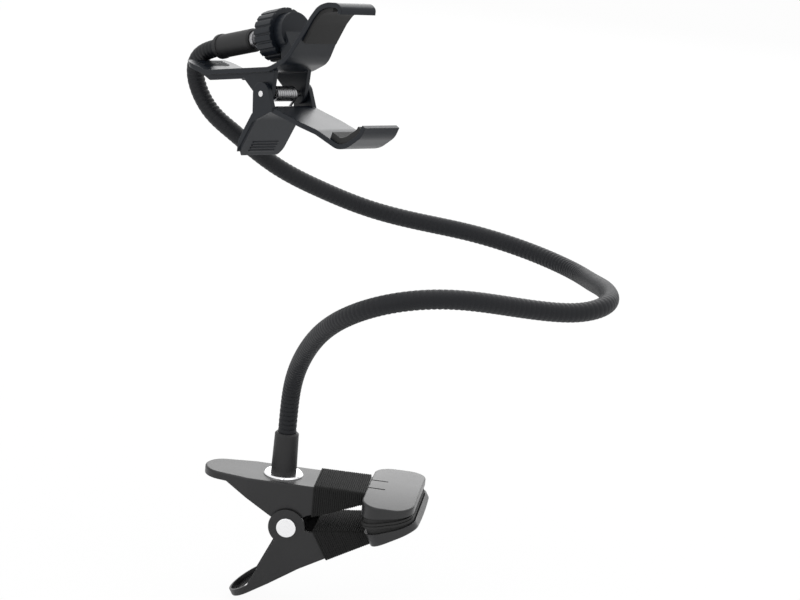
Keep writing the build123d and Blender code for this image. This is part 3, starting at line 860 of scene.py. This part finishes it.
@dataclass
class TableClamp:
    """The table clamp: cord wraps on both levers and the spring on the rivet."""

    pivot: Vector = field(default_factory=lambda: Vector((-52.16, 0.0, -13.976)) * MM)
    half_angle: float = math.radians(15.0)
    web_rise: float = 22.5 * MM
    half_width: float = 13.5 * MM
    lower_extra: float = 1.5 * MM
    cord_radius: float = 0.55 * MM
    wrap_first: float = 12.1 * MM
    wrap_turns: int = 25
    wrap_pitch: float = 1.025 * MM
    wrap_corner: float = 1.4 * MM
    wrap_air: float = 0.05 * MM
    slanted_air: float = 1.2
    throat: float = 22.0 * MM
    throat_rise: float = 11.6 * MM
    heel_slope: float = 0.387
    throat_slope: float = 0.438
    toe_reach: float = 35.0 * MM
    toe_rise: float = 17.3 * MM
    toe_slope: float = 0.1255
    spring_wire: float = 0.9 * MM
    spring_coil: float = 5.0 * MM
    spring_turns: int = 6
    spring_step: float = 0.4 * MM
    spring_sides: int = 12
    spring_reach: float = 27.0 * MM
    upper_spring_rise: float = 20.4 * MM
    lower_spring_rise: float = 22.0 * MM

    def lever_matrix(self, lower: bool) -> Matrix:
        """Gives a lever's own frame: x along it to its jaw, z out through its web.

        Args:
            lower: True for the lower lever.

        Returns:
            The frame as a matrix in the part's frame.
        """
        lean = 2 * self.half_angle if lower else 0.0
        along = Vector((math.cos(lean), 0.0, math.sin(lean)))
        out = Vector((math.sin(lean), 0.0, -math.cos(lean))) if lower else Vector((0.0, 0.0, 1.0))
        across = out.cross(along)
        turn = Matrix((along, across, out)).transposed().to_4x4()
        return Matrix.Translation(self.pivot) @ turn

    def wrap(self, tree: WoundCord, lower: bool, paint: bpy.types.Material) -> bpy.types.Object:
        """Winds the cord round one lever.

        Args:
            tree: The tree that winds cord.
            lower: True for the lower lever.
            paint: The cord's material.

        Returns:
            The finished wrap.
        """
        name = "lower_cord" if lower else "upper_cord"
        stand_off = self.cord_radius + self.wrap_air
        slanted_off = self.slanted_air * stand_off
        toe_at_throat = self.toe_rise - self.toe_slope * (self.toe_reach - self.throat)
        piece = tree.run(
            name,
            bpy.data.meshes.new(name),
            {
                "Cord Radius": self.cord_radius,
                "First": self.wrap_first,
                "Pitch": self.wrap_pitch,
                "Turns": self.wrap_turns,
                "Half Width": self.half_width + stand_off + (self.lower_extra if lower else 0.0),
                "Top": self.web_rise + stand_off,
                "Corner": self.wrap_corner,
                "Throat": self.throat,
                "Heel Depth": self.throat_rise - slanted_off,
                "Heel Slope": self.heel_slope,
                "Throat Depth": self.throat_rise - slanted_off,
                "Throat Slope": self.throat_slope,
                "Toe Depth": toe_at_throat - stand_off,
                "Toe Slope": self.toe_slope,
                "Material": paint,
            },
        )
        piece.data.transform(self.lever_matrix(lower))
        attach(piece, "lower_jaw" if lower else "clamp")
        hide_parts("lower_cord_wrap" if lower else "upper_cord_wrap")
        return piece

    def spring(self, tree: RibbedTube, paint: bpy.types.Material) -> bpy.types.Object:
        """Winds the spring on the rivet, with a leg under each handle.

        Args:
            tree: The tree that makes tubes.
            paint: The wire's material.

        Returns:
            The finished spring.
        """
        upper_toe = Vector((-self.spring_reach, 0.0, self.upper_spring_rise))
        lower_toe = Vector((-self.spring_reach, 0.0, self.lower_spring_rise))
        coil = TorsionSpring(
            name="clamp_coil", centre=self.pivot, axis=ACROSS,
            first=self.lever_matrix(False) @ upper_toe, last=self.lever_matrix(True) @ lower_toe,
            radius=self.spring_coil, turns=self.spring_turns, wire=self.spring_wire,
            step=self.spring_step, sides=self.spring_sides,
        )
        piece = coil.wind(tree, paint)
        start, end = coil.twist_span()
        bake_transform(piece)
        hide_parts("clamp_spring")
        return piece


@dataclass
class Gooseneck:
    """The bent arm: a ribbed sleeve between its two ferrules."""

    radius: float = 4.6 * MM
    sides: int = 28
    rib_pitch: float = 2.7 * MM
    rib_depth: float = 0.038
    steps_per_rib: int = 8
    bunch_depth: float = 0.45 * MM
    bunch_radius: float = 60.0 * MM
    bend_start: float = 24.0
    bend_end: float = 95.0
    route: tuple[tuple[float, float, float], ...] = (
        (0, 0, 8.5), (0, 0, 20), (0, 0, 34), (1, -8, 54), (8, -38, 80), (20, -78, 106),
        (44, -101, 124), (74, -97, 128), (104, -80, 121), (134, -66, 116), (151, -50, 119),
        (149, -14, 116),
        (145, 20, 109), (140, 56, 104), (118, 85, 105), (86, 95, 110), (56, 102, 111),
        (28, 107, 114), (2, 97, 125), (-22, 86, 137), (-45, 83, 155), (-58, 89, 162),
        (-68, 96, 177), (-67.3, 90.5, 193), (-56, 79.85, 198.15), (-44.7, 69.2, 203.3),
    )

    def build(self, tree: RibbedTube, paint: bpy.types.Material) -> bpy.types.Object:
        """Makes the sleeve along its route.

        Args:
            tree: The tree that makes ribbed tubes.
            paint: The sleeve's material.

        Returns:
            The finished arm.
        """
        points = [(ARM_SEAT + ARM_TURN @ Vector(point)) * MM for point in self.route]
        piece = tree.run(
            "ribbed_arm",
            path_mesh("ribbed_arm", points, True),
            {
                "Radius": self.radius,
                "Step": self.rib_pitch / self.steps_per_rib,
                "Rib Pitch": self.rib_pitch,
                "Rib Depth": self.rib_depth,
                "Bunch Depth": self.bunch_depth,
                "Bunch Radius": self.bunch_radius,
                "Sides": self.sides,
                "Material": paint,
            },
        )
        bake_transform(piece)
        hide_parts("gooseneck")
        return piece


@dataclass
class PhoneClip:
    """The clip at the head: the spring on its pin."""

    pin: Vector = field(default_factory=lambda: Vector((-80.586, 38.710, 194.024)) * MM)
    axis: Vector = field(default_factory=lambda: ARM_TURN @ Vector((0.70036, 0.71020, -0.07150)))
    back: Vector = field(default_factory=lambda: ARM_TURN @ Vector((-0.62207, 0.55817, -0.54907)))
    up: Vector = field(default_factory=lambda: ARM_TURN @ Vector((-0.35005, 0.42902, 0.83271)))
    wire: float = 0.7 * MM
    coil: float = 3.2 * MM
    turns: int = 8
    step: float = 0.3 * MM
    sides: int = 10
    upper_toe: tuple[float, float] = (17.0 * MM, 16.4 * MM)
    lower_toe: tuple[float, float] = (17.0 * MM, -11.7 * MM)

    def _toe(self, place: tuple[float, float]) -> Vector:
        """Gives the place where a leg of the spring ends.

        Args:
            place: How far back from the pin, and how far up.

        Returns:
            The place in the part's frame.
        """
        return self.pin + self.back * place[0] + self.up * place[1]

    def spring(self, tree: RibbedTube, paint: bpy.types.Material) -> bpy.types.Object:
        """Winds the spring on the clip's pin, with a leg under each handle.

        Args:
            tree: The tree that makes tubes.
            paint: The wire's material.

        Returns:
            The finished spring.
        """
        coil = TorsionSpring(
            name="clip_coil", centre=self.pin, axis=self.axis,
            first=self._toe(self.upper_toe), last=self._toe(self.lower_toe),
            radius=self.coil, turns=self.turns, wire=self.wire,
            step=self.step, sides=self.sides,
        )
        piece = coil.wind(tree, paint)
        start, end = coil.twist_span()
        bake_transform(piece)
        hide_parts("clip_spring")
        return piece


@dataclass(frozen=True)
class Lamp:
    """One soft square lamp of the studio."""

    name: str
    place: tuple[float, float, float]
    size: float
    power: float

    def hang(self, target: tuple[float, float, float]) -> None:
        """Hangs the lamp.

        Args:
            target: The point that it faces.
        """
        light = bpy.data.lights.new(self.name, "AREA")
        light.size = self.size
        light.energy = self.power
        holder = bpy.data.objects.new(self.name, light)
        bpy.context.scene.collection.objects.link(holder)
        aim = (Vector(target) - Vector(self.place)).to_track_quat("-Z", "Y")
        holder.matrix_world = Matrix.Translation(self.place) @ aim.to_matrix().to_4x4()


@dataclass
class Studio:
    """The plain pale floor, the soft light and the camera."""

    stand: Vector = field(default_factory=lambda: ARM_TURN @ Vector((50.0, -1184.7, 436.2)) * MM)
    right: Vector = field(default_factory=lambda: ARM_TURN @ Vector((0.9954, 0.0264, 0.0921)))
    up: Vector = field(default_factory=lambda: ARM_TURN @ Vector((-0.0958, 0.2744, 0.9568)))
    back: Vector = field(default_factory=lambda: ARM_TURN @ Vector((0.0, -0.9613, 0.2756)))
    sensor: float = 36.0
    lens: float = 112.5
    far: float = 50.0
    floor_size: float = 8.0
    floor_drop: float = 1.0 * MM
    floor_colour: tuple[float, float, float, float] = (0.93, 0.93, 0.93, 1.0)
    floor_roughness: float = 0.9
    floor_specular: float = 0.1
    floor_white: float = 0.93
    seen_strength: float = 1.0
    glow_strength: float = 0.7
    lamp_target: tuple[float, float, float] = (0.0, 0.0, 0.1)
    lamps: tuple[Lamp, ...] = (
        Lamp("overhead", (0.1, 0.1, 1.8), size=1.6, power=9.0),
        Lamp("front_left", (-1.3, -1.5, 1.0), size=1.2, power=4.0),
        Lamp("behind", (0.1, 1.5, 0.85), size=1.4, power=12.0),
    )

    def camera(self) -> None:
        """Stands the camera at the photograph's viewpoint."""
        eye = bpy.data.cameras.new("camera")
        eye.sensor_width = self.sensor
        eye.lens = self.lens
        eye.clip_end = self.far
        holder = bpy.data.objects.new("camera", eye)
        bpy.context.scene.collection.objects.link(holder)
        turn = Matrix((self.right, self.up, self.back)).transposed().to_4x4()
        holder.matrix_world = Matrix.Translation(ARM_SEAT * MM + self.stand) @ turn
        bpy.context.scene.camera = holder

    def world(self) -> None:
        """Lights the room softly and keeps its background white."""
        room = bpy.data.worlds.new("room")
        room.use_nodes = True
        tree = room.node_tree
        tree.nodes.clear()
        seen = tree.nodes.new("ShaderNodeBackground")
        seen.inputs["Color"].default_value = WHITE
        seen.inputs["Strength"].default_value = self.seen_strength
        glow = tree.nodes.new("ShaderNodeBackground")
        glow.inputs["Color"].default_value = WHITE
        glow.inputs["Strength"].default_value = self.glow_strength
        rays = tree.nodes.new("ShaderNodeLightPath")
        either = tree.nodes.new("ShaderNodeMath")
        either.operation = "MAXIMUM"
        mix = tree.nodes.new("ShaderNodeMixShader")
        leave = tree.nodes.new("ShaderNodeOutputWorld")
        tree.links.new(rays.outputs["Is Camera Ray"], either.inputs[0])
        tree.links.new(rays.outputs["Is Glossy Ray"], either.inputs[1])
        tree.links.new(either.outputs["Value"], mix.inputs["Fac"])
        tree.links.new(glow.outputs["Background"], mix.inputs[1])
        tree.links.new(seen.outputs["Background"], mix.inputs[2])
        tree.links.new(mix.outputs["Shader"], leave.inputs["Surface"])
        bpy.context.scene.world = room

    def floor_paint(self) -> bpy.types.Material:
        """Makes a matt pale paint that the camera sees as nearly white.

        Returns:
            The floor's material.
        """
        paint = bpy.data.materials.new("floor_paint")
        paint.use_nodes = True
        tree = paint.node_tree
        shader = tree.nodes["Principled BSDF"]
        shader.inputs["Base Color"].default_value = self.floor_colour
        shader.inputs["Roughness"].default_value = self.floor_roughness
        shader.inputs["Specular IOR Level"].default_value = self.floor_specular
        white = tree.nodes.new("ShaderNodeEmission")
        rays = tree.nodes.new("ShaderNodeLightPath")
        share = tree.nodes.new("ShaderNodeMath")
        share.operation = "MULTIPLY"
        share.inputs[1].default_value = self.floor_white
        mix = tree.nodes.new("ShaderNodeMixShader")
        tree.links.new(rays.outputs["Is Camera Ray"], share.inputs[0])
        tree.links.new(share.outputs["Value"], mix.inputs["Fac"])
        tree.links.new(shader.outputs["BSDF"], mix.inputs[1])
        tree.links.new(white.outputs["Emission"], mix.inputs[2])
        tree.links.new(mix.outputs["Shader"], tree.nodes["Material Output"].inputs["Surface"])
        return paint

    def floor(self, lowest: float) -> None:
        """Lays the floor just under the holder.

        Args:
            lowest: The height of the holder's lowest point.
        """
        half = self.floor_size / 2
        height = lowest - self.floor_drop
        round_trip = ((-half, -half), (half, -half), (half, half), (-half, half))
        sheet = bpy.data.meshes.new("floor")
        sheet.from_pydata([(x, y, height) for x, y in round_trip], [], [(0, 1, 2, 3)])
        sheet.materials.append(self.floor_paint())
        ground = bpy.data.objects.new("floor", sheet)
        bpy.context.scene.collection.objects.link(ground)

    def build(self, lowest: float) -> None:
        """Sets up floor, light and camera.

        Args:
            lowest: The height of the holder's lowest point.
        """
        self.floor(lowest)
        self.world()
        for lamp in self.lamps:
            lamp.hang(self.lamp_target)
        self.camera()
        bpy.context.scene.view_settings.view_transform = "Standard"


def dress_nodes(paints: dict[str, bpy.types.Material]) -> None:
    """Gives every CAD node the material of its slot.

    Args:
        paints: The finished materials by slot name.
    """
    for part in frame["record"]["subparts"]:
        node = frame["nodes"][part["node"]]
        paint = paints[part["material_slot"]]
        if not node.material_slots:
            node.data.materials.append(paint)
        for place in node.material_slots:
            place.material = paint
        LOG.info("dressed %s in %s", part["node"], part["material_slot"])


def main() -> None:
    """Builds every piece in order and reports it."""
    logging.basicConfig(level=logging.INFO)
    effects = EffectLibrary()
    paints = {finish.slot.value: finish.material(effects) for finish in FINISHES}
    dress_nodes(paints)
    tube = RibbedTube()
    cord = WoundCord()
    clamp = TableClamp()
    made = [
        clamp.wrap(cord, False, paints[Slot.BLACK_CORD.value]),
        clamp.wrap(cord, True, paints[Slot.BLACK_CORD.value]),
        clamp.spring(tube, paints[Slot.SPRING_WIRE.value]),
        Gooseneck().build(tube, paints[Slot.ARM_SLEEVE.value]),
        PhoneClip().spring(tube, paints[Slot.SPRING_WIRE.value]),
    ]
    for piece in made:
        LOG.info("made %s with %d faces", piece.name, len(piece.data.polygons))
    Studio().build(CAD_BOX[0][2])


if __name__ == "__main__":
    main()
